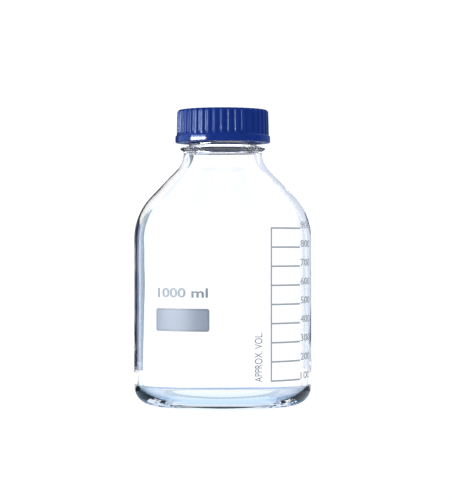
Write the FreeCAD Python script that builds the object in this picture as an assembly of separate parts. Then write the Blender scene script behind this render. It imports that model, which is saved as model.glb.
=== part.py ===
# Screw-cap laboratory bottle, 1000 ml, with its pouring ring, ribbed cap and loose liner.
# Millimetres. +Z is up, -Y is the front with the prints, and the origin is the centre of the standing ring.
import FreeCAD, Part
import math
import os

Z_AXIS = FreeCAD.Vector(0, 0, 1)
ORIGIN = FreeCAD.Vector(0, 0, 0)

# Bottle: outside
BODY_R = 55.0
CORNER_R = 12.0
SHOULDER_R = 37.5
CONE_ANGLE = 43.7
SHOULDER_Z = 118.0
NECK_R = 24.3
NECK_FILLET = 15.0

# Bead under the thread
BEAD_R = 27.6
BEAD_Z = 158.9
BEAD_HALF = 1.7
BEAD_FOOT_FILLET = 1.0
BEAD_TIP_FILLET = 0.7
BEAD_TOP_FILLET = 0.8

# Base: the punt inside the standing ring
STAND_R = 36.5
STAND_FILLET = 2.0
PUNT_R = 25.0
PUNT_RISE = 2.4
PUNT_FILLET = 30.0

# Bottle: inside
WALL = 2.3
FLOOR_Z = 4.2
FLOOR_RISE = 1.2
FLOOR_FILLET = 40.0
INNER_CORNER_R = 9.0
CONE_WALL = 2.6
INNER_NECK_R = 21.4
BORE_R = 17.0
BORE_Z = 161.3
BORE_FILLET = 2.5

# Mouth: a lip above the thread, with a small bead that the pouring ring snaps over
CORE_R = 21.0
CORE_TOP_FILLET = 0.8
LIP_R = 19.9
LIP_LOW_Z = 174.6
LIP_STEP_FILLET = 0.6
LIP_Z = 178.0
LIP_FILLET = 1.1
SNAP_Z = 176.4
SNAP_RISE = 0.35
SNAP_FILLET = 0.2

# 45 mm bottle thread, right-hand
THREAD_MAJOR_R = 22.5
THREAD_PITCH = 4.0
THREAD_LOW_Z = 164.6
THREAD_TURNS = 2.0
THREAD_FOOT_HALF = 1.35
THREAD_CREST_HALF = 0.55
SECTIONS_PER_TURN = 24
SECTIONS_PER_PIECE = 12
FADE_TURNS = 0.12
FADE_SHARE = 0.3
ROOT_SINK = 0.4

# Screw cap
CAP_LOW_Z = 162.4
CAP_TOP_Z = 183.0
CAP_BAND_R = 29.5
CAP_BAND_TOP_Z = 167.4
CAP_BAND_STEP = 0.9
CAP_BAND_FILLET = 0.7
CAP_RIB_R = 28.7
CAP_RIB_TOP_R = 28.3
CAP_TOP_FILLET = 1.8
CAP_RECESS_R = 24.6
CAP_RECESS = 0.4
RIB_COUNT = 40
RIB_DEPTH = 0.95
RIB_CREST_SHARE = 0.46
RIB_ROOT_SHARE = 0.34
CAP_INNER_R = 23.2
CAP_LEAD_IN = 1.2
CAP_THREAD_R = 21.5
CAP_THREAD_TURNS = 1.6
CAP_THREAD_START = 0.6
CAP_THREAD_CREST_HALF = 0.5
ROOF = 2.2

# Bead inside the cap that keeps the liner in
RETAINER_R = 21.9
RETAINER_HEIGHT = 0.9
RETAINER_DROP = 0.45
RETAINER_SLOPE = 0.35
RETAINER_LEAD = 0.9
RETAINER_FILLET = 0.3

# Liner
SEAL_R = 22.6
SEAL_THICK = 1.4
SEAL_GAP = 0.2
FACING_THICK = 0.3

# Pouring ring
RING_TOP = 0.9
RING_OUTER_R = 21.15
RING_BORE_R = 15.2
RING_SLEEVE = 1.0
RING_SLEEVE_LENGTH = 6.0
RING_GAP = 0.15
RING_SKIRT_LIFT = 0.3
RING_EDGE_FILLET = 0.3
RING_MOUTH_FILLET = 0.7
RING_GROOVE_FILLET = 0.15

# Enamel prints on the front of the bottle, by angle from the front towards +X
ENAMEL = 0.08
SPINE_ANGLE = 32.0
LINE_END_ANGLE = 58.5
LINE_WIDTH = 1.0
FIRST_LINE_Z = 17.5
FIRST_VOLUME = 100
LAST_VOLUME = 900
VOLUME_STEP = 100
MM3_PER_ML = 1000.0
PANEL_ANGLES = (-46.6, -8.2)
PANEL_Z = (47.3, 61.0)
PANEL_CORNER = 1.5

# Worked out from the above
BODY_BORE_R = BODY_R - WALL
LINE_STEP = VOLUME_STEP * MM3_PER_ML / (math.pi * BODY_BORE_R ** 2)
CONE_SLOPE = math.tan(math.radians(CONE_ANGLE))
SEAL_TOP_Z = CAP_TOP_Z - ROOF - SEAL_GAP
SEAL_LOW_Z = SEAL_TOP_Z - SEAL_THICK
FACING_LOW_Z = SEAL_LOW_Z - FACING_THICK


def on_plane(r, z):
    """Point of the half-plane that is turned about Z."""
    return FreeCAD.Vector(r, 0, z)


def rounded_face(corners):
    """Face inside a closed outline of (r, z, corner radius), each corner rounded by a tangent arc."""
    edges = []
    arcs = []
    count = len(corners)
    for index, (r, z, radius) in enumerate(corners):
        here = on_plane(r, z)
        if radius == 0:
            arcs.append((here, None, here))
            continue
        back = on_plane(*corners[index - 1][:2]).sub(here).normalize()
        ahead = on_plane(*corners[(index + 1) % count][:2]).sub(here).normalize()
        half = back.getAngle(ahead) / 2
        run = radius / math.tan(half)
        middle = back.add(ahead).normalize()
        reach = radius / math.sin(half) - radius
        arcs.append((here + back * run, here + middle * reach, here + ahead * run))
    for index, (enter, middle, leave) in enumerate(arcs):
        if middle is not None:
            edges.append(Part.Arc(enter, middle, leave).toShape())
        following = arcs[(index + 1) % count][0]
        if leave.distanceToPoint(following) > 1e-6:
            edges.append(Part.LineSegment(leave, following).toShape())
    return Part.Face(Part.Wire(edges))


def turned(corners):
    """Solid of revolution about Z of a rounded outline."""
    return rounded_face(corners).revolve(ORIGIN, Z_AXIS, 360)


def tube(inner_r, outer_r, low, high):
    """Plain ring between two radii and two heights."""
    outside = Part.makeCylinder(outer_r, high - low, on_plane(0, low))
    return outside.cut(Part.makeCylinder(inner_r, high - low, on_plane(0, low)))


def wall_patch(start_deg, end_deg, low, high):
    """Thin enamel patch on the wall between two angles from the front and two heights."""
    block = Part.makeCylinder(BODY_R + ENAMEL, high - low, on_plane(0, low), Z_AXIS, end_deg - start_deg)
    block = block.cut(Part.makeCylinder(BODY_R, high - low, on_plane(0, low)))
    block.rotate(ORIGIN, Z_AXIS, start_deg - 90)
    return block


def thread_section(turn_deg, z, root_r, crest_r, crest_half):
    """Trapezium of a thread ridge at one angle."""
    points = [
        on_plane(root_r, z - THREAD_FOOT_HALF),
        on_plane(crest_r, z - crest_half),
        on_plane(crest_r, z + crest_half),
        on_plane(root_r, z + THREAD_FOOT_HALF),
    ]
    section = Part.makePolygon(points + points[:1])
    section.rotate(ORIGIN, Z_AXIS, turn_deg)
    return section


def thread_ridge(low_z, start_turn, turns, root_r, crest_r, crest_half):
    """Pieces, of half a turn each, of a right-hand ridge that fades into its wall at both ends."""
    steps = round(turns * SECTIONS_PER_TURN)
    sections = []
    for step in range(steps + 1):
        along = turns * step / steps
        share = min(1.0, along / FADE_TURNS, (turns - along) / FADE_TURNS)
        crest = root_r + (crest_r - root_r) * (FADE_SHARE + (1 - FADE_SHARE) * share)
        z = low_z + THREAD_PITCH * along
        sections.append(thread_section(360 * (start_turn + along), z, root_r, crest, crest_half))
    pieces = []
    for first in range(0, steps, SECTIONS_PER_PIECE):
        last = min(first + SECTIONS_PER_PIECE, steps)
        pieces.append(Part.makeLoft(sections[first:last + 1], True, False))
    return pieces


def bottle():
    """Blown glass shell: base with a punt, rounded corner, straight wall, cone, neck, bead and mouth."""
    cone = math.radians(CONE_ANGLE)
    neck_z = SHOULDER_Z + (BODY_R - NECK_R) / CONE_SLOPE
    cone_inner_r = NECK_R - CONE_WALL * math.cos(cone)
    cone_inner_z = neck_z - CONE_WALL * math.sin(cone)
    inner_neck_z = cone_inner_z + (cone_inner_r - INNER_NECK_R) / CONE_SLOPE
    inner_shoulder_z = cone_inner_z - (BODY_BORE_R - cone_inner_r) / CONE_SLOPE
    shell = turned([
        (0, PUNT_RISE, 0),
        (PUNT_R, PUNT_RISE, PUNT_FILLET),
        (STAND_R, 0, STAND_FILLET),
        (BODY_R, 0, CORNER_R),
        (BODY_R, SHOULDER_Z, SHOULDER_R),
        (NECK_R, neck_z, NECK_FILLET),
        (NECK_R, BEAD_Z - BEAD_HALF, BEAD_FOOT_FILLET),
        (BEAD_R, BEAD_Z, BEAD_TIP_FILLET),
        (CORE_R, BEAD_Z + BEAD_HALF, BEAD_TOP_FILLET),
        (CORE_R, LIP_LOW_Z - (CORE_R - LIP_R), CORE_TOP_FILLET),
        (LIP_R, LIP_LOW_Z, LIP_STEP_FILLET),
        (LIP_R, SNAP_Z - SNAP_RISE, 0),
        (LIP_R + SNAP_RISE, SNAP_Z, SNAP_FILLET),
        (LIP_R, SNAP_Z + SNAP_RISE, 0),
        (LIP_R, LIP_Z, LIP_FILLET),
        (BORE_R, LIP_Z, LIP_FILLET),
        (BORE_R, BORE_Z, BORE_FILLET),
        (INNER_NECK_R, BORE_Z - (INNER_NECK_R - BORE_R), BORE_FILLET),
        (INNER_NECK_R, inner_neck_z, NECK_FILLET + CONE_WALL),
        (BODY_BORE_R, inner_shoulder_z, SHOULDER_R - WALL),
        (BODY_BORE_R, FLOOR_Z, INNER_CORNER_R),
        (PUNT_R, FLOOR_Z + FLOOR_RISE, FLOOR_FILLET),
        (0, FLOOR_Z + FLOOR_RISE, 0),
    ])
    ridge = thread_ridge(
        THREAD_LOW_Z, 0, THREAD_TURNS, CORE_R - ROOT_SINK, THREAD_MAJOR_R, THREAD_CREST_HALF
    )
    return shell.fuse(ridge)


def rib_outline():
    """Gear-like outline of the cap's grip: crests and roots as arcs, joined by straight flanks."""
    pitch = 2 * math.pi / RIB_COUNT
    crest = pitch * RIB_CREST_SHARE / 2
    root = pitch * RIB_ROOT_SHARE / 2
    root_r = CAP_RIB_R - RIB_DEPTH

    def at(radius, angle):
        return FreeCAD.Vector(radius * math.cos(angle), radius * math.sin(angle), 0)

    edges = []
    for rib in range(RIB_COUNT):
        middle = rib * pitch
        valley = middle + pitch / 2
        crest_start = at(CAP_RIB_R, middle - crest)
        crest_end = at(CAP_RIB_R, middle + crest)
        root_start = at(root_r, valley - root)
        root_end = at(root_r, valley + root)
        next_crest = at(CAP_RIB_R, middle + pitch - crest)
        edges.append(Part.Arc(crest_start, at(CAP_RIB_R, middle), crest_end).toShape())
        edges.append(Part.LineSegment(crest_end, root_start).toShape())
        edges.append(Part.Arc(root_start, at(root_r, valley), root_end).toShape())
        edges.append(Part.LineSegment(root_end, next_crest).toShape())
    return Part.Face(Part.Wire(edges))


def screw_cap():
    """Ribbed shell with a smooth band below the ribs, an inner thread and a bead that keeps the liner in."""
    grip = rib_outline().extrude(on_plane(0, CAP_TOP_Z - CAP_LOW_Z))
    grip.translate(on_plane(0, CAP_LOW_Z))
    envelope = turned([
        (0, CAP_LOW_Z, 0),
        (CAP_RIB_R, CAP_LOW_Z, 0),
        (CAP_RIB_R, CAP_BAND_TOP_Z, 0),
        (CAP_RIB_TOP_R, CAP_TOP_Z, CAP_TOP_FILLET),
        (CAP_RECESS_R, CAP_TOP_Z, 0),
        (CAP_RECESS_R - CAP_RECESS, CAP_TOP_Z - CAP_RECESS, 0),
        (0, CAP_TOP_Z - CAP_RECESS, 0),
    ])
    band = turned([
        (0, CAP_LOW_Z, 0),
        (CAP_BAND_R, CAP_LOW_Z, CAP_BAND_FILLET),
        (CAP_BAND_R, CAP_BAND_TOP_Z - CAP_BAND_STEP, CAP_BAND_FILLET),
        (CAP_RIB_R - RIB_DEPTH, CAP_BAND_TOP_Z, 0),
        (0, CAP_BAND_TOP_Z, 0),
    ])
    retainer_top = FACING_LOW_Z - RETAINER_DROP
    retainer_low = retainer_top - RETAINER_HEIGHT
    cavity = turned([
        (0, CAP_LOW_Z, 0),
        (CAP_INNER_R + CAP_LEAD_IN, CAP_LOW_Z, 0),
        (CAP_INNER_R, CAP_LOW_Z + CAP_LEAD_IN, 0),
        (CAP_INNER_R, retainer_low - RETAINER_LEAD, 0),
        (RETAINER_R, retainer_low, RETAINER_FILLET),
        (RETAINER_R, retainer_top, RETAINER_FILLET),
        (CAP_INNER_R, retainer_top + RETAINER_SLOPE, 0),
        (CAP_INNER_R, CAP_TOP_Z - ROOF, 0),
        (0, CAP_TOP_Z - ROOF, 0),
    ])
    shell = grip.common(envelope).fuse(band).cut(cavity)
    half_turn_low = THREAD_LOW_Z - THREAD_PITCH / 2
    ridge = thread_ridge(
        half_turn_low + THREAD_PITCH * CAP_THREAD_START,
        CAP_THREAD_START,
        CAP_THREAD_TURNS,
        CAP_INNER_R + ROOT_SINK,
        CAP_THREAD_R,
        CAP_THREAD_CREST_HALF,
    )
    return shell.fuse(ridge)


def seal_disc():
    """Rubber liner under the roof of the cap."""
    return Part.makeCylinder(SEAL_R, SEAL_THICK, on_plane(0, SEAL_LOW_Z))


def seal_facing():
    """PTFE film under the liner, which meets the pouring ring."""
    return Part.makeCylinder(SEAL_R, FACING_THICK, on_plane(0, FACING_LOW_Z))


def pouring_ring():
    """Drip ring: a sleeve in the bore, a flange on the lip and a skirt that snaps over the lip's bead."""
    skirt_r = LIP_R + RING_GAP
    sleeve_r = RING_BORE_R + RING_SLEEVE
    sleeve_low = LIP_Z - RING_SLEEVE_LENGTH
    skirt_low = LIP_LOW_Z + RING_SKIRT_LIFT
    return turned([
        (RING_BORE_R, sleeve_low, 0),
        (sleeve_r, sleeve_low, RING_EDGE_FILLET),
        (sleeve_r, LIP_Z, 0),
        (skirt_r, LIP_Z, 0),
        (skirt_r, SNAP_Z + SNAP_RISE, 0),
        (skirt_r + SNAP_RISE, SNAP_Z, RING_GROOVE_FILLET),
        (skirt_r, SNAP_Z - SNAP_RISE, 0),
        (skirt_r, skirt_low, 0),
        (RING_OUTER_R, skirt_low, RING_EDGE_FILLET),
        (RING_OUTER_R, LIP_Z + RING_TOP, RING_EDGE_FILLET),
        (RING_BORE_R, LIP_Z + RING_TOP, RING_MOUTH_FILLET),
    ])


def scale_lines():
    """Upright line and one level line for each 100 ml, spaced by the true bore of the body."""
    half = LINE_WIDTH / 2
    spine_half = math.degrees(half / BODY_R)
    steps = (LAST_VOLUME - FIRST_VOLUME) // VOLUME_STEP
    last_z = FIRST_LINE_Z + steps * LINE_STEP
    lines = wall_patch(SPINE_ANGLE - spine_half, SPINE_ANGLE + spine_half, FIRST_LINE_Z - half, last_z + half)
    for index in range(steps + 1):
        z = FIRST_LINE_Z + index * LINE_STEP
        lines = lines.fuse(wall_patch(SPINE_ANGLE, LINE_END_ANGLE, z - half, z + half))
    return lines.removeSplitter()


def label_panel():
    """Enamel field for handwriting: a rounded rectangle laid on the wall."""
    start, end = PANEL_ANGLES
    low, high = PANEL_Z
    half_width = (BODY_R + ENAMEL) * math.sin(math.radians((end - start) / 2))
    corners = [
        (-half_width, low, PANEL_CORNER),
        (half_width, low, PANEL_CORNER),
        (half_width, high, PANEL_CORNER),
        (-half_width, high, PANEL_CORNER),
    ]
    stamp = rounded_face(corners).extrude(FreeCAD.Vector(0, -2 * BODY_R, 0))
    stamp.rotate(ORIGIN, Z_AXIS, (start + end) / 2)
    return stamp.common(tube(BODY_R, BODY_R + ENAMEL, low - 1, high + 1))


PARTS = {
    "bottle": bottle,
    "pouring_ring": pouring_ring,
    "screw_cap": screw_cap,
    "seal_disc": seal_disc,
    "seal_facing": seal_facing,
    "scale_lines": scale_lines,
    "label_panel": label_panel,
}

os.makedirs("parts", exist_ok=True)
for name, make in PARTS.items():
    shape = make()
    print(name, "valid" if shape.isValid() else "NOT VALID", round(shape.Volume / 1000, 2), "cm3")
    shape.exportStep("parts/" + name + ".step")
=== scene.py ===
import math
import bpy
import bmesh
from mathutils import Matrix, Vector


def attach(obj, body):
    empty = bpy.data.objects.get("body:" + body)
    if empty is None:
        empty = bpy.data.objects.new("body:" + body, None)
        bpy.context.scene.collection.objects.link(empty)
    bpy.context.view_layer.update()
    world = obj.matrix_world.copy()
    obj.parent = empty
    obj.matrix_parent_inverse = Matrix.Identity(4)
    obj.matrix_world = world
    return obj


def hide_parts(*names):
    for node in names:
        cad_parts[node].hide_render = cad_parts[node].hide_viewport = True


# A screw-cap laboratory bottle of clear glass, with enamel prints, on a bright field.

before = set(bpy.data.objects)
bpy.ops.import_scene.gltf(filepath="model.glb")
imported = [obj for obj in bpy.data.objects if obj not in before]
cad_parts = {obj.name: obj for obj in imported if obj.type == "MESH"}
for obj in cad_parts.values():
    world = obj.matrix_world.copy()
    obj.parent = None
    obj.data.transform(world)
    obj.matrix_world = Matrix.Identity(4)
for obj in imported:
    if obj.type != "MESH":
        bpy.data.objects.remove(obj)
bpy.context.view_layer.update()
bpy.context.scene.view_settings.view_transform = "Standard"

MM = 0.001
NEAR = 0.01  # radii closer than this are the same, in millimetres

# Bottle, as in the CAD model (millimetres)
BODY_R = 55.0
WALL = 2.3
CORNER_R = 12.0
SHOULDER_R = 37.5
CONE_ANGLE = 43.7
SHOULDER_Z = 118.0
NECK_R = 24.3
NECK_FILLET = 15.0
BEAD_R = 27.6
BEAD_Z = 158.9
BEAD_HALF = 1.7
BEAD_FOOT_FILLET = 1.0
BEAD_TIP_FILLET = 0.7
BEAD_TOP_FILLET = 0.8
STAND_R = 36.5
STAND_FILLET = 2.0
PUNT_R = 25.0
PUNT_RISE = 2.4
PUNT_FILLET = 30.0
FLOOR_Z = 4.2
FLOOR_RISE = 1.2
FLOOR_FILLET = 40.0
INNER_CORNER_R = 9.0
CONE_WALL = 2.6
INNER_NECK_R = 21.4
BORE_R = 17.0
BORE_Z = 161.3
BORE_FILLET = 2.5
CORE_R = 21.0
CORE_LOW_Z = 162.0
LIP_R = 19.9
LIP_LOW_Z = 174.6
LIP_Z = 178.0
LIP_FILLET = 1.1
LIP_STEP_FILLET = 0.6
SNAP_Z = 176.4
SNAP_RISE = 0.35
SNAP_FILLET = 0.2

# Unevenness of the inner wall: its depth, then for each wave the count round, twist and share
UNEVEN = 0.05
UNEVEN_WAVES = ((2, 21.0, 1.0), (3, -13.0, 0.7))

# Thread
THREAD_MAJOR_R = 22.5
THREAD_PITCH = 4.0
THREAD_LOW_Z = 164.6
THREAD_TURNS = 2.0
THREAD_FOOT_HALF = 1.35
THREAD_CREST_HALF = 0.55
FADE_TURNS = 0.12

# Screw cap
CAP_LOW_Z = 162.4
CAP_TOP_Z = 183.0
CAP_BAND_R = 29.5
CAP_BAND_TOP_Z = 167.4
CAP_BAND_STEP = 0.9
CAP_BAND_FILLET = 0.7
CAP_BAND_TOP_FILLET = 0.8
CAP_RIB_R = 28.7
CAP_RIB_TOP_R = 28.3
CAP_TOP_FILLET = 1.8
CAP_RECESS_R = 24.6
CAP_RECESS = 0.4
CAP_CREASE = 0.2
RIB_COUNT = 40
RIB_DEPTH = 0.95
RIB_SQUARENESS = 3.0
RIB_CREST_BIAS = 0.1
RIB_REACH = 3.3
RIB_RUN_OUT = 2.0
COLUMNS_PER_RIB = 14
CAP_INNER_R = 23.2
CAP_LEAD_IN = 1.2
CAP_THREAD_R = 21.5
CAP_THREAD_TURNS = 1.6
CAP_THREAD_START = 0.6
ROOF = 2.2
RETAINER_R = 21.9
RETAINER_LOW_Z = 177.55
RETAINER_TOP_Z = 178.45
RETAINER_SLOPE = 0.35
RETAINER_LEAD = 0.9
RETAINER_FILLET = 0.3

# Liner and pouring ring
SEAL_R = 22.6
SEAL_LOW_Z = 179.2
SEAL_THICK = 1.4
SEAL_EDGE = 0.2
FACING_THICK = 0.3
FACING_EDGE = 0.1
RING_TOP = 0.9
RING_OUTER_R = 21.15
RING_BORE_R = 15.2
RING_SLEEVE = 1.0
RING_SLEEVE_LENGTH = 6.0
RING_GAP = 0.15
RING_SKIRT_LIFT = 0.3
RING_EDGE_FILLET = 0.3
RING_SOFT_FILLET = 0.2
RING_GROOVE_FILLET = 0.15
RING_MOUTH_FILLET = 0.7

# Enamel prints, by angle from the front (-Y) towards +X
ENAMEL = 0.08
SPINE_ANGLE = 32.0
LINE_END_ANGLE = 58.5
LINE_WIDTH = 1.0
FIRST_LINE_Z = 17.5
LINE_COUNT = 9
GRADUATION = 100000.0  # 100 ml, in cubic millimetres
NUMERAL_ANGLE = 59.3
NUMERAL_SIZE = (15.0, 4.3)
NUMERAL_LIFT = 0.1
MARK_ANGLE = -45.0
MARK_Z = 67.5
MARK_SIZE = (34.4, 5.8)
MARK_WEIGHT = 0.018
NOTE_ANGLE = 25.6
NOTE_Z = 17.2
NOTE_SIZE = (29.4, 5.0)
PANEL_ANGLES = (-46.6, -8.2)
PANEL_Z = (47.3, 61.0)
PANEL_CORNER = 1.5
PANEL_BORDER = 1.1

# Fineness of the meshes: degrees of an arc, longest run, columns round a turned piece, steps of a letter
FINE_ARC = 3.0
ARC = 6.0
COARSE_ARC = 15.0
GLASS_RUN = 6.0
THREAD_RUN = 0.2
CAP_RUN = 1.6
CAP_INNER_RUN = 0.4
DISC_RUN = 3.0
GLASS_COLUMNS = 256
RING_COLUMNS = 192
DISC_COLUMNS = 128
PRINT_RUN = 0.6
LETTER_STEPS = 4

BODY_BORE_R = BODY_R - WALL
LINE_STEP = GRADUATION / (math.pi * BODY_BORE_R ** 2)
MM_PER_DEGREE = math.radians(1) * BODY_R


# ---------------------------------------------------------------- outlines

def rounded_path(corners, arc_step, closed=False):
    """Points of an outline of (r, z, corner radius), with each corner as a tangent arc."""
    points = []
    count = len(corners)
    for index, (r, z, radius) in enumerate(corners):
        here = Vector((r, z))
        if radius == 0 or (not closed and index in (0, count - 1)):
            points.append(here)
            continue
        before = (Vector(corners[index - 1][:2]) - here).normalized()
        after = (Vector(corners[(index + 1) % count][:2]) - here).normalized()
        half = before.angle(after) / 2
        middle = (before + after).normalized()
        centre = here + middle * (radius / math.sin(half))
        run = radius / math.tan(half)
        first = here + before * run - centre
        turn = first.angle_signed(here + after * run - centre)
        steps = max(2, math.ceil(abs(math.degrees(turn)) / arc_step))
        for step in range(steps + 1):
            angle = -turn * step / steps
            spun = Vector((
                first.x * math.cos(angle) - first.y * math.sin(angle),
                first.x * math.sin(angle) + first.y * math.cos(angle),
            ))
            points.append(centre + spun)
    return points


def divide(points, longest):
    """The same outline with every run split to at most the given length."""
    out = [points[0]]
    for start, end in zip(points, points[1:]):
        parts = max(1, math.ceil((end - start).length / longest))
        for part in range(1, parts + 1):
            out.append(start.lerp(end, part / parts))
    return out


def ridge(turn, z, low_z, turns, start_turn):
    """Height from 0 to 1 of a right-hand thread at an angle (in turns) and a height."""
    best = 0.0
    for lap in range(-1, math.ceil(turns + start_turn) + 1):
        along = turn + lap - start_turn
        if along < 0 or along > turns:
            continue
        offset = abs(z - low_z - THREAD_PITCH * (along + start_turn))
        slope = (THREAD_FOOT_HALF - offset) / (THREAD_FOOT_HALF - THREAD_CREST_HALF)
        share = max(0.0, min(1.0, slope))
        fade = max(0.0, min(1.0, along / FADE_TURNS, (turns - along) / FADE_TURNS))
        best = max(best, share * share * (3 - 2 * share) * fade)
    return best


# ---------------------------------------------------------------- meshes

def add_piece(name, mesh, material):
    """Object for a mesh, with its one material."""
    mesh.name = name
    mesh.materials.clear()
    mesh.materials.append(material)
    piece = bpy.data.objects.new(name, mesh)
    bpy.context.scene.collection.objects.link(piece)
    return piece


def mesh_object(name, vertices, faces, material):
    """A smooth-shaded mesh object in metres from points in millimetres."""
    mesh = bpy.data.meshes.new(name)
    mesh.from_pydata([(x * MM, y * MM, z * MM) for x, y, z in vertices], [], faces)
    mesh.validate()
    mesh.polygons.foreach_set("use_smooth", [True] * len(mesh.polygons))
    return add_piece(name, mesh, material)


def lathe(name, path, columns, material, radius_at=None, closed=False):
    """Turned piece. radius_at(turn, index, r, z) may move a point of the outline in or out."""
    vertices = []
    rows = []
    for index, point in enumerate(path):
        if point.x < NEAR:
            rows.append([len(vertices)] * columns)
            vertices.append((0, 0, point.y))
            continue
        rows.append(list(range(len(vertices), len(vertices) + columns)))
        for column in range(columns):
            turn = column / columns
            r = point.x if radius_at is None else radius_at(turn, index, point.x, point.y)
            angle = 2 * math.pi * turn
            vertices.append((r * math.cos(angle), r * math.sin(angle), point.y))
    if closed:
        rows.append(rows[0])
    faces = []
    for low, high in zip(rows, rows[1:]):
        for column in range(columns):
            following = (column + 1) % columns
            face = [low[column], low[following], high[following], high[column]]
            face = list(dict.fromkeys(face))
            if len(face) > 2:
                faces.append(face)
    return mesh_object(name, vertices, faces, material)


def slab(*loops):
    """Flat solid of the enamel's thickness inside one loop of (x, z), or between two of equal length."""
    vertices = []
    for height in (0, ENAMEL):
        for loop in loops:
            vertices += [(x, z, height) for x, z in loop]
    count = len(loops[0])
    top = count * len(loops)

    def band(low, high):
        """Quads between two rings of vertices, by the first vertex of each."""
        return [(low + i, low + (i + 1) % count, high + (i + 1) % count, high + i) for i in range(count)]

    faces = band(0, top)
    if len(loops) == 2:
        faces += band(top + count, count) + band(top, top + count) + band(count, 0)
    else:
        faces += [tuple(reversed(range(count))), tuple(range(top, top + count))]
    mesh = bpy.data.meshes.new("slab")
    mesh.from_pydata(vertices, [], faces)
    return mesh


def rectangle(left, right, low, high, corner=0.0):
    """Loop of a rectangle, with rounded corners if asked."""
    corners = [(left, low, corner), (right, low, corner), (right, high, corner), (left, high, corner)]
    return [tuple(point) for point in rounded_path(corners, COARSE_ARC, closed=True)]


def wrap(name, mesh, material, left=0.0, foot=0.0, upright=False):
    """Lays a flat solid on the wall from an arc length and a height, reading upwards if upright."""
    work = bmesh.new()
    work.from_mesh(mesh)
    if upright:
        for vertex in work.verts:
            vertex.co.x, vertex.co.y = -vertex.co.y, vertex.co.x
    bmesh.ops.translate(work, verts=work.verts, vec=(left, foot, 0))
    bmesh.ops.triangulate(work, faces=work.faces)
    cut = min(vertex.co.x for vertex in work.verts) + PRINT_RUN
    last = max(vertex.co.x for vertex in work.verts)
    while cut < last:
        everything = list(work.verts) + list(work.edges) + list(work.faces)
        bmesh.ops.bisect_plane(work, geom=everything, plane_co=(cut, 0, 0), plane_no=(1, 0, 0))
        cut += PRINT_RUN
    for vertex in work.verts:
        angle = vertex.co.x / BODY_R
        r = BODY_R + vertex.co.z
        vertex.co = Vector((r * math.sin(angle), -r * math.cos(angle), vertex.co.y)) * MM
    bmesh.ops.recalc_face_normals(work, faces=work.faces)
    work.to_mesh(mesh)
    work.free()
    return add_piece(name, mesh, material)


def lettering(text, size, weight=0.0):
    """Text as a flat solid of the given width and capital height, with its lower left at the origin."""
    curve = bpy.data.curves.new("words", "FONT")
    curve.body = text
    curve.resolution_u = LETTER_STEPS
    curve.offset = weight
    curve.extrude = 0.5  # any depth: the mesh is scaled to the enamel's thickness below
    holder = bpy.data.objects.new("words", curve)
    bpy.context.scene.collection.objects.link(holder)
    bpy.context.view_layer.update()
    evaluated = holder.evaluated_get(bpy.context.evaluated_depsgraph_get())
    mesh = bpy.data.meshes.new_from_object(evaluated)
    bpy.data.objects.remove(holder)
    lows = [min(vertex.co[axis] for vertex in mesh.vertices) for axis in range(3)]
    highs = [max(vertex.co[axis] for vertex in mesh.vertices) for axis in range(3)]
    for vertex in mesh.vertices:
        for axis, length in enumerate((*size, ENAMEL)):
            vertex.co[axis] = (vertex.co[axis] - lows[axis]) * length / (highs[axis] - lows[axis])
    return mesh


# ---------------------------------------------------------------- materials

# Noise seldom leaves the middle of its range, so colours and roughness run over that part only.
NOISE_LOW = 0.3
NOISE_HIGH = 0.7
WAVE_RADIANS = 20  # the wave texture's own phase per unit


class Finish:
    """A Principled material whose colour, roughness and bump come from noise in the object's own space."""

    def __init__(self, name):
        self.material = bpy.data.materials.new(name)
        self.material.use_nodes = True
        self.tree = self.material.node_tree
        self.shader = self.tree.nodes["Principled BSDF"]
        self.place = self.tree.nodes.new("ShaderNodeTexCoord").outputs["Object"]

    def set(self, **values):
        """Constants on the shader's own sockets."""
        for name, value in values.items():
            self.shader.inputs[name.replace("_", " ")].default_value = value
        return self

    def noise(self, size_mm, detail=2.0):
        """Noise with features of about the given size."""
        node = self.tree.nodes.new("ShaderNodeTexNoise")
        node.inputs["Scale"].default_value = 1 / (size_mm * MM)
        node.inputs["Detail"].default_value = detail
        self.tree.links.new(self.place, node.inputs["Vector"])
        return node.outputs["Fac"]

    def rings(self, size_mm):
        """Fine turned rings round the axis, 2 pi times the given size apart."""
        node = self.tree.nodes.new("ShaderNodeTexWave")
        node.wave_type = "RINGS"
        node.rings_direction = "Z"
        node.inputs["Scale"].default_value = 1 / (size_mm * MM) / WAVE_RADIANS
        node.inputs["Distortion"].default_value = 0.4
        self.tree.links.new(self.place, node.inputs["Vector"])
        return node.outputs["Fac"]

    def colour(self, source, low, high):
        """Base colour that runs between two colours."""
        ramp = self.tree.nodes.new("ShaderNodeValToRGB")
        ramp.color_ramp.elements[0].position = NOISE_LOW
        ramp.color_ramp.elements[0].color = (*low, 1)
        ramp.color_ramp.elements[1].position = NOISE_HIGH
        ramp.color_ramp.elements[1].color = (*high, 1)
        self.tree.links.new(source, ramp.inputs[0])
        self.tree.links.new(ramp.outputs[0], self.shader.inputs["Base Color"])
        return self

    def roughness(self, source, low, high):
        """Roughness that runs between two values."""
        spread = self.tree.nodes.new("ShaderNodeMapRange")
        spread.inputs["From Min"].default_value = NOISE_LOW
        spread.inputs["From Max"].default_value = NOISE_HIGH
        spread.inputs["To Min"].default_value = low
        spread.inputs["To Max"].default_value = high
        self.tree.links.new(source, spread.inputs["Value"])
        self.tree.links.new(spread.outputs[0], self.shader.inputs["Roughness"])
        return self

    def bump(self, source, depth_mm):
        """Relief of the given depth, laid over any relief set before."""
        node = self.tree.nodes.new("ShaderNodeBump")
        node.inputs["Distance"].default_value = depth_mm * MM
        self.tree.links.new(source, node.inputs["Height"])
        normal = self.shader.inputs["Normal"]
        if normal.is_linked:
            self.tree.links.new(normal.links[0].from_socket, node.inputs["Normal"])
        self.tree.links.new(node.outputs[0], normal)
        return self


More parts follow.
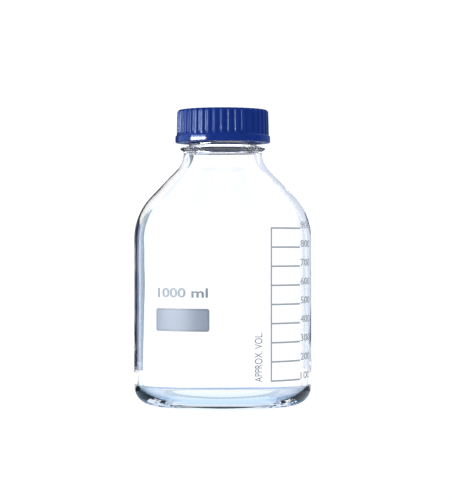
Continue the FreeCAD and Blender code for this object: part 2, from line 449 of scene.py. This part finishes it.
def clear_glass():
    """Borosilicate glass with the faint waviness of a blown wall."""
    finish = Finish("clear_glass")
    finish.set(Base_Color=(1, 1, 1, 1), Roughness=0.0, Transmission_Weight=1.0, IOR=1.473)
    finish.bump(finish.noise(26.0, 1.0), 0.12)
    return finish.material


def blue_plastic():
    """Moulded polypropylene: glossy, with a fine grain and slight flow marks."""
    finish = Finish("blue_plastic")
    finish.set(IOR=1.49)
    finish.colour(finish.noise(7.0), (0.011, 0.043, 0.29), (0.013, 0.05, 0.33))
    finish.roughness(finish.noise(1.2), 0.08, 0.14)
    finish.bump(finish.noise(3.0), 0.006)
    finish.bump(finish.noise(0.25), 0.001)
    return finish.material


def enamel(name, thin, thick):
    """Screen-printed enamel, fired on: slightly uneven in density and gloss."""
    finish = Finish(name)
    finish.colour(finish.noise(0.9, 4.0), thin, thick)
    finish.roughness(finish.noise(0.5), 0.3, 0.45)
    finish.bump(finish.noise(0.3), 0.01)
    return finish.material


def silicone():
    """Rubber with a fine moulded matt skin, its near-black colour painted shade for the dark inside the
    closed cap.
    """
    finish = Finish("silicone")
    finish.colour(finish.noise(1.5), (0.022, 0.024, 0.028), (0.032, 0.034, 0.038))
    finish.roughness(finish.noise(0.6), 0.55, 0.7)
    finish.bump(finish.noise(0.2), 0.015)
    return finish.material


def ptfe():
    """Film with the fine rings of the skiving knife, its near-black colour painted shade for the dark
    inside the closed cap.
    """
    finish = Finish("ptfe")
    finish.colour(finish.noise(2.5), (0.018, 0.018, 0.021), (0.026, 0.026, 0.03))
    finish.roughness(finish.noise(1.0), 0.32, 0.42)
    finish.bump(finish.rings(0.4), 0.01)
    return finish.material


# ---------------------------------------------------------------- pieces

def bottle(material):
    """Blown glass shell with its thread and a slightly uneven inner wall."""
    cone = math.radians(CONE_ANGLE)
    slope = math.tan(cone)
    neck_z = SHOULDER_Z + (BODY_R - NECK_R) / slope
    cone_inner_r = NECK_R - CONE_WALL * math.cos(cone)
    cone_inner_z = neck_z - CONE_WALL * math.sin(cone)
    inner_neck_z = cone_inner_z + (cone_inner_r - INNER_NECK_R) / slope
    inner_shoulder_z = cone_inner_z - (BODY_BORE_R - cone_inner_r) / slope
    outside = divide(rounded_path([
        (0, PUNT_RISE, 0),
        (PUNT_R, PUNT_RISE, PUNT_FILLET),
        (STAND_R, 0, STAND_FILLET),
        (BODY_R, 0, CORNER_R),
        (BODY_R, SHOULDER_Z, SHOULDER_R),
        (NECK_R, neck_z, NECK_FILLET),
        (NECK_R, BEAD_Z - BEAD_HALF, BEAD_FOOT_FILLET),
        (BEAD_R, BEAD_Z, BEAD_TIP_FILLET),
        (CORE_R, BEAD_Z + BEAD_HALF, BEAD_TOP_FILLET),
        (CORE_R, CORE_LOW_Z, 0),
    ], FINE_ARC), GLASS_RUN)
    core_top = LIP_LOW_Z - (CORE_R - LIP_R)
    core = divide([Vector((CORE_R, CORE_LOW_Z)), Vector((CORE_R, core_top))], THREAD_RUN)
    mouth = rounded_path([
        (CORE_R, core_top, 0),
        (LIP_R, LIP_LOW_Z, LIP_STEP_FILLET),
        (LIP_R, SNAP_Z - SNAP_RISE, 0),
        (LIP_R + SNAP_RISE, SNAP_Z, SNAP_FILLET),
        (LIP_R, SNAP_Z + SNAP_RISE, 0),
        (LIP_R, LIP_Z, LIP_FILLET),
        (BORE_R, LIP_Z, LIP_FILLET),
        (BORE_R, LIP_Z - 2 * LIP_FILLET, 0),
    ], ARC)
    inside = divide(rounded_path([
        (BORE_R, LIP_Z - 2 * LIP_FILLET, 0),
        (BORE_R, BORE_Z, BORE_FILLET),
        (INNER_NECK_R, BORE_Z - (INNER_NECK_R - BORE_R), BORE_FILLET),
        (INNER_NECK_R, inner_neck_z, NECK_FILLET + CONE_WALL),
        (BODY_BORE_R, inner_shoulder_z, SHOULDER_R - WALL),
        (BODY_BORE_R, FLOOR_Z, INNER_CORNER_R),
        (PUNT_R, FLOOR_Z + FLOOR_RISE, FLOOR_FILLET),
        (0, FLOOR_Z + FLOOR_RISE, 0),
    ], FINE_ARC), GLASS_RUN)
    path = outside + core[1:-1] + mouth + inside[1:]
    inside_from = len(path) - len(inside)

    def radius_at(turn, index, r, z):
        if abs(r - CORE_R) < NEAR and index < inside_from:
            return r + (THREAD_MAJOR_R - CORE_R) * ridge(turn, z, THREAD_LOW_Z, THREAD_TURNS, 0.0)
        if index <= inside_from:
            return r
        around = 2 * math.pi * turn
        wave = sum(share * math.sin(count * around + z / twist) for count, twist, share in UNEVEN_WAVES)
        return r + UNEVEN * wave * min(1.0, r / NECK_R)

    return lathe("bottle_glass", path, GLASS_COLUMNS, material, radius_at)


def screw_cap(material):
    """Ribbed cap shell with a smooth band, an inner thread and a retaining bead."""
    roof_z = CAP_TOP_Z - ROOF
    outside = divide(rounded_path([
        (CAP_INNER_R + CAP_LEAD_IN, CAP_LOW_Z, 0),
        (CAP_BAND_R, CAP_LOW_Z, CAP_BAND_FILLET),
        (CAP_BAND_R, CAP_BAND_TOP_Z - CAP_BAND_STEP, CAP_BAND_TOP_FILLET),
        (CAP_RIB_R, CAP_BAND_TOP_Z - CAP_CREASE, CAP_CREASE),
        (CAP_RIB_R, CAP_BAND_TOP_Z + 2 * CAP_CREASE, 0),
        (CAP_RIB_TOP_R, CAP_TOP_Z, CAP_TOP_FILLET),
        (CAP_RECESS_R, CAP_TOP_Z, CAP_CREASE),
        (CAP_RECESS_R - CAP_RECESS, CAP_TOP_Z - CAP_RECESS, CAP_CREASE),
        (0, CAP_TOP_Z - CAP_RECESS, 0),
    ], COARSE_ARC), CAP_RUN)
    inside = divide(rounded_path([
        (0, roof_z, 0),
        (CAP_INNER_R, roof_z, 0),
        (CAP_INNER_R, RETAINER_TOP_Z + RETAINER_SLOPE, 0),
        (RETAINER_R, RETAINER_TOP_Z, RETAINER_FILLET),
        (RETAINER_R, RETAINER_LOW_Z, RETAINER_FILLET),
        (CAP_INNER_R, RETAINER_LOW_Z - RETAINER_LEAD, CAP_CREASE),
        (CAP_INNER_R, CAP_LOW_Z + CAP_LEAD_IN, 0),
        (CAP_INNER_R + CAP_LEAD_IN, CAP_LOW_Z, 0),
    ], COARSE_ARC), CAP_INNER_RUN)
    thread_low_z = THREAD_LOW_Z - THREAD_PITCH / 2
    rib_foot_r = CAP_RIB_TOP_R - RIB_REACH
    outside_ends = len(outside)

    def radius_at(turn, index, r, z):
        if index >= outside_ends:
            if abs(r - CAP_INNER_R) > NEAR:
                return r
            height = ridge(turn, z, thread_low_z, CAP_THREAD_TURNS, CAP_THREAD_START)
            return r - (CAP_INNER_R - CAP_THREAD_R) * height
        if r < rib_foot_r or z < CAP_BAND_TOP_Z - CAP_CREASE / 2:
            return r
        # Ribs follow a cosine that tanh squares off, with the crests a little wider than the grooves.
        wave = math.cos(2 * math.pi * RIB_COUNT * turn)
        steepest = math.tanh(RIB_SQUARENESS * (1 + RIB_CREST_BIAS))
        crest = 0.5 + 0.5 * math.tanh(RIB_SQUARENESS * (wave + RIB_CREST_BIAS)) / steepest
        inward = min(1.0, (r - rib_foot_r) / RIB_RUN_OUT)
        return r - RIB_DEPTH * (1 - crest) * inward

    columns = RIB_COUNT * COLUMNS_PER_RIB
    return lathe("cap_shell", outside + inside[:-1], columns, material, radius_at, closed=True)


def pouring_ring(material):
    """Drip ring: sleeve in the bore, flange on the lip, skirt round it with a groove for the lip's bead."""
    skirt_r = LIP_R + RING_GAP
    sleeve_r = RING_BORE_R + RING_SLEEVE
    skirt_low_z = LIP_LOW_Z + RING_SKIRT_LIFT
    path = rounded_path([
        (RING_BORE_R, LIP_Z - RING_SLEEVE_LENGTH, RING_SOFT_FILLET),
        (sleeve_r, LIP_Z - RING_SLEEVE_LENGTH, RING_EDGE_FILLET),
        (sleeve_r, LIP_Z, 0),
        (skirt_r, LIP_Z, 0),
        (skirt_r, SNAP_Z + SNAP_RISE, 0),
        (skirt_r + SNAP_RISE, SNAP_Z, RING_GROOVE_FILLET),
        (skirt_r, SNAP_Z - SNAP_RISE, 0),
        (skirt_r, skirt_low_z, RING_SOFT_FILLET),
        (RING_OUTER_R, skirt_low_z, RING_EDGE_FILLET),
        (RING_OUTER_R, LIP_Z + RING_TOP, RING_EDGE_FILLET),
        (RING_BORE_R, LIP_Z + RING_TOP, RING_MOUTH_FILLET),
    ], COARSE_ARC, closed=True)
    return lathe("drip_ring", path, RING_COLUMNS, material, closed=True)


def disc(name, low_z, thick, edge, material):
    """Round disc of the liner with softened edges."""
    path = rounded_path([
        (0, low_z, 0),
        (SEAL_R, low_z, edge),
        (SEAL_R, low_z + thick, edge),
        (0, low_z + thick, 0),
    ], COARSE_ARC)
    return lathe(name, divide(path, DISC_RUN), DISC_COLUMNS, material)


def scale(material):
    """Upright line and a level line for each 100 ml."""
    half = LINE_WIDTH / 2
    spine = SPINE_ANGLE * MM_PER_DEGREE
    line_end = LINE_END_ANGLE * MM_PER_DEGREE
    last_z = FIRST_LINE_Z + (LINE_COUNT - 1) * LINE_STEP
    upright = slab(rectangle(spine - half, spine + half, FIRST_LINE_Z - half, last_z + half))
    done = [wrap("scale_spine", upright, material)]
    for index in range(LINE_COUNT):
        z = FIRST_LINE_Z + index * LINE_STEP
        line = slab(rectangle(spine + half, line_end, z - half, z + half))
        done.append(wrap(f"scale_line_{index + 1}00", line, material))
    return done


def words(pale, dark):
    """Pale numerals of the scale, and the darker capacity mark and volume note."""
    done = []
    for index in range(LINE_COUNT):
        z = FIRST_LINE_Z + index * LINE_STEP + NUMERAL_LIFT
        numeral = lettering(f"{index + 1}00", NUMERAL_SIZE)
        done.append(wrap(f"numeral_{index + 1}00", numeral, pale, NUMERAL_ANGLE * MM_PER_DEGREE, z))
    mark = lettering("1000 ml", MARK_SIZE, MARK_WEIGHT)
    done.append(wrap("capacity_mark", mark, dark, MARK_ANGLE * MM_PER_DEGREE, MARK_Z))
    note = lettering("APPROX. VOL.", NOTE_SIZE)
    done.append(wrap("volume_note", note, dark, NOTE_ANGLE * MM_PER_DEGREE, NOTE_Z, upright=True))
    return done


def label(fill, border):
    """Field for handwriting inside its darker border."""
    left, right = (angle * MM_PER_DEGREE for angle in PANEL_ANGLES)
    low, high = PANEL_Z
    outer = rectangle(left, right, low, high, PANEL_CORNER)
    inner = rectangle(
        left + PANEL_BORDER, right - PANEL_BORDER, low + PANEL_BORDER, high - PANEL_BORDER,
        PANEL_CORNER - PANEL_BORDER / 2,
    )
    return [
        wrap("label_border", slab(outer, inner), border),
        wrap("label_field", slab(inner), fill),
    ]


def place(pieces, body, slot, *nodes):
    """Puts pieces on a body and hides the CAD nodes that the first one stands for; the slot is not used."""
    for piece in pieces:
        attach(piece, body)
    if nodes:
        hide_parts(*nodes)


blue = blue_plastic()
line_enamel = enamel("line_enamel", (0.56, 0.57, 0.59), (0.66, 0.67, 0.69))
field_enamel = enamel("field_enamel", (0.42, 0.47, 0.56), (0.47, 0.52, 0.62))
border_enamel = enamel("border_enamel", (0.32, 0.36, 0.43), (0.38, 0.42, 0.49))

place([bottle(clear_glass())], "bottle", "clear_glass", "bottle")
place([screw_cap(blue)], "cap", "blue_plastic", "screw_cap")
place([pouring_ring(blue)], "bottle", "blue_plastic", "pouring_ring")
rubber = disc("liner_rubber", SEAL_LOW_Z, SEAL_THICK, SEAL_EDGE, silicone())
place([rubber], "liner", "silicone", "seal_disc")
film = disc("liner_film", SEAL_LOW_Z - FACING_THICK, FACING_THICK, FACING_EDGE, ptfe())
place([film], "liner", "ptfe", "seal_facing")
place(scale(line_enamel), "bottle", "enamel", "scale_lines")
place(label(field_enamel, border_enamel), "bottle", "enamel", "label_panel")
place(words(line_enamel, border_enamel), "bottle", "enamel")


# ---------------------------------------------------------------- studio

# Screens and floor (millimetres). Each screen is a little nearer than the one before it.
STUDIO_R = 1600.0
STUDIO_Z = 90.0
FLOOR_R = 600.0
FLOOR_DEPTH = 0.05
SCREEN_STEP = 0.002
SCREEN_RUN = 6.0
FLOOR_LIGHT = (1.05, 1.05, 1.05)
WORLD_LIGHT = (1.15, 1.15, 1.15)

# Camera (metres)
CAMERA_DISTANCE = 1.25
CAMERA_SIDE = 0.002
EYE_Z = 0.096
VIEW_WIDTH = 0.2811

# Bounces that the light needs through two walls of glass and the thread behind them
GLASS_BOUNCES = 24
GLOSSY_BOUNCES = 12

# Patches of a sphere round the bottle: degrees left of +Y, elevations, colour.
# The bright field and its flags are seen through the glass.
FIELD = {
    "back": ((-13, 11), (-6, 8), (1.09, 1.11, 1.14)),
    "back_high": ((-13, 11), (8, 45), (1.15, 1.2, 1.3)),
    "back_low": ((-13, 11), (-45, -25), (2.2, 2.2, 2.2)),
    "back_neck": ((-13, 11), (-25, -6), (7.0, 7.4, 8.0)),
    "left_flag": ((11, 29), (-9, 9), (0.0, 0.01, 0.03)),
    "left_grey": ((29, 33), (-9, 9), (0.3, 0.4, 0.62)),
    "left_line": ((33, 38), (-9, 9), (0.15, 0.2, 0.32)),
    "left_blue": ((38, 45), (-12, 12), (1.2, 1.55, 2.1)),
    "left_near": ((45, 60), (-25, 14), (0.9, 1.05, 1.3)),
    "left_far": ((60, 95), (-25, 14), (1.3, 1.35, 1.4)),
    "left_high": ((35, 140), (14, 45), (0.55, 0.7, 0.9)),
    "right_edge": ((-22, -13), (-25, 60), (0.82, 0.88, 1.0)),
    "right_line": ((-35, -22), (-25, 60), (0.88, 0.93, 1.05)),
    "right_far": ((-60, -35), (-25, 60), (1.35, 1.4, 1.5)),
}
# What shines on gloss
GLOSS = {
    "gloss_room": ((-180, 180), (-90, 90), (0.05, 0.06, 0.09)),
    "gloss_back": ((-75, 5), (-60, 60), (0.2, 0.27, 0.4)),
    "gloss_left": ((45, 90), (-20, 50), (0.5, 0.75, 1.0)),
    "gloss_key": ((97, 138), (7, 24), (3.2, 4.4, 6.4)),
    "gloss_strip": ((97, 138), (1, 7), (36, 38, 40)),
}
# What lights the matt surfaces
SOFT = {
    "soft_room": ((-180, 180), (-90, 90), (0.55, 0.6, 0.66)),
    "soft_key": ((60, 150), (0, 45), (2.2, 2.2, 2.2)),
}
# Sectors of the floor as seen in the glass: radii, degrees left of +Y, colour. They are painted shadow and
# painted light: darker round the foot where the bottle's shadow falls, paler under the centre and far
# behind.
PAINTED_FLOOR_SHADE_AND_LIGHT = {
    "under_centre": ((0, 32), (0, 360), (0.8, 0.92, 1.05)),
    "under_ring": ((32, 38), (0, 360), (0.3, 0.45, 0.6)),
    "mid_back": ((38, 78), (-45, 45), (0.3, 0.5, 0.8)),
    "far_back": ((78, 350), (-45, 45), (1.15, 1.15, 1.18)),
    "far_left": ((54, 85), (45, 135), (0.26, 0.38, 0.52)),
    "near_left": ((38, 54), (45, 135), (0.42, 0.6, 0.85)),
    "front": ((38, 64), (135, 225), (0.6, 0.8, 1.05)),
    "near_right": ((38, 54), (225, 315), (0.35, 0.5, 0.72)),
    "far_right": ((54, 85), (225, 315), (0.5, 0.58, 0.68)),
}


def light_material(name, colour):
    """Even emission."""
    material = bpy.data.materials.new(name)
    material.use_nodes = True
    tree = material.node_tree
    tree.nodes.clear()
    light = tree.nodes.new("ShaderNodeEmission")
    light.inputs["Color"].default_value = (*colour, 1)
    out = tree.nodes.new("ShaderNodeOutputMaterial")
    tree.links.new(light.outputs[0], out.inputs[0])
    return material


def seen_by(piece, *rays):
    """Shows a piece of the studio only to the named kinds of ray."""
    piece.visible_camera = "camera" in rays
    piece.visible_diffuse = "diffuse" in rays
    piece.visible_glossy = "glossy" in rays
    piece.visible_transmission = "transmission" in rays
    return piece


def patch(name, point, firsts, seconds, colour):
    """Curved sheet of even light over two ranges of degrees or lengths, placed by point(first, second)."""
    columns, rows = (max(2, math.ceil((high - low) / SCREEN_RUN)) for low, high in (firsts, seconds))
    vertices = []
    for row in range(rows + 1):
        for column in range(columns + 1):
            first = firsts[0] + (firsts[1] - firsts[0]) * column / columns
            second = seconds[0] + (seconds[1] - seconds[0]) * row / rows
            vertices.append(point(first, second))
    faces = []
    for row in range(rows):
        for column in range(columns):
            first = row * (columns + 1) + column
            faces.append((first, first + 1, first + columns + 2, first + columns + 1))
    return mesh_object(name, vertices, faces, light_material(name, colour))


def round_the_bottle(radius):
    """Point of a sphere by degrees left of +Y and elevation."""
    def point(left, up):
        azimuth = math.radians(left)
        elevation = math.radians(up)
        flat = radius * math.cos(elevation)
        height = radius * math.sin(elevation) + STUDIO_Z
        return (-flat * math.sin(azimuth), flat * math.cos(azimuth), height)
    return point


def on_the_floor(radius, left):
    """Point just under the floor by radius and degrees left of +Y."""
    azimuth = math.radians(left)
    return (-radius * math.sin(azimuth), radius * math.cos(azimuth), -FLOOR_DEPTH)


def studio():
    """Bright field and flags for the glass, soft lights for the rest, and a pale floor."""
    pieces = []
    for rays, lights in (("transmission", FIELD), ("glossy", GLOSS), ("diffuse", SOFT)):
        for order, (name, (azimuths, elevations, colour)) in enumerate(lights.items()):
            place_at = round_the_bottle(STUDIO_R * (1 - SCREEN_STEP * order))
            pieces.append(seen_by(patch(name, place_at, azimuths, elevations, colour), rays))
    # Painted shadow and painted light on the floor, seen only through the glass and in its reflections
    for name, (radii, azimuths, colour) in PAINTED_FLOOR_SHADE_AND_LIGHT.items():
        pieces.append(seen_by(patch(name, on_the_floor, radii, azimuths, colour), "transmission", "glossy"))
    floor = patch("floor", on_the_floor, (0, FLOOR_R), (0, 360), FLOOR_LIGHT)
    pieces.append(seen_by(floor, "camera"))
    world = bpy.data.worlds.new("world")
    world.use_nodes = True
    world.node_tree.nodes["Background"].inputs["Color"].default_value = (*WORLD_LIGHT, 1)
    world.cycles_visibility.diffuse = False
    world.cycles_visibility.glossy = False
    bpy.context.scene.world = world
    return pieces


def camera():
    """Long level lens at about half the bottle's height."""
    data = bpy.data.cameras.new("camera")
    data.sensor_fit = "HORIZONTAL"
    data.lens = data.sensor_width * CAMERA_DISTANCE / VIEW_WIDTH
    holder = bpy.data.objects.new("camera", data)
    holder.location = (CAMERA_SIDE, -CAMERA_DISTANCE, EYE_Z)
    holder.rotation_euler = (math.pi / 2, 0, 0)
    bpy.context.scene.collection.objects.link(holder)
    bpy.context.scene.camera = holder


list(studio())
camera()
cycles = bpy.context.scene.cycles
cycles.max_bounces = GLASS_BOUNCES
cycles.transmission_bounces = GLASS_BOUNCES
cycles.glossy_bounces = GLOSSY_BOUNCES
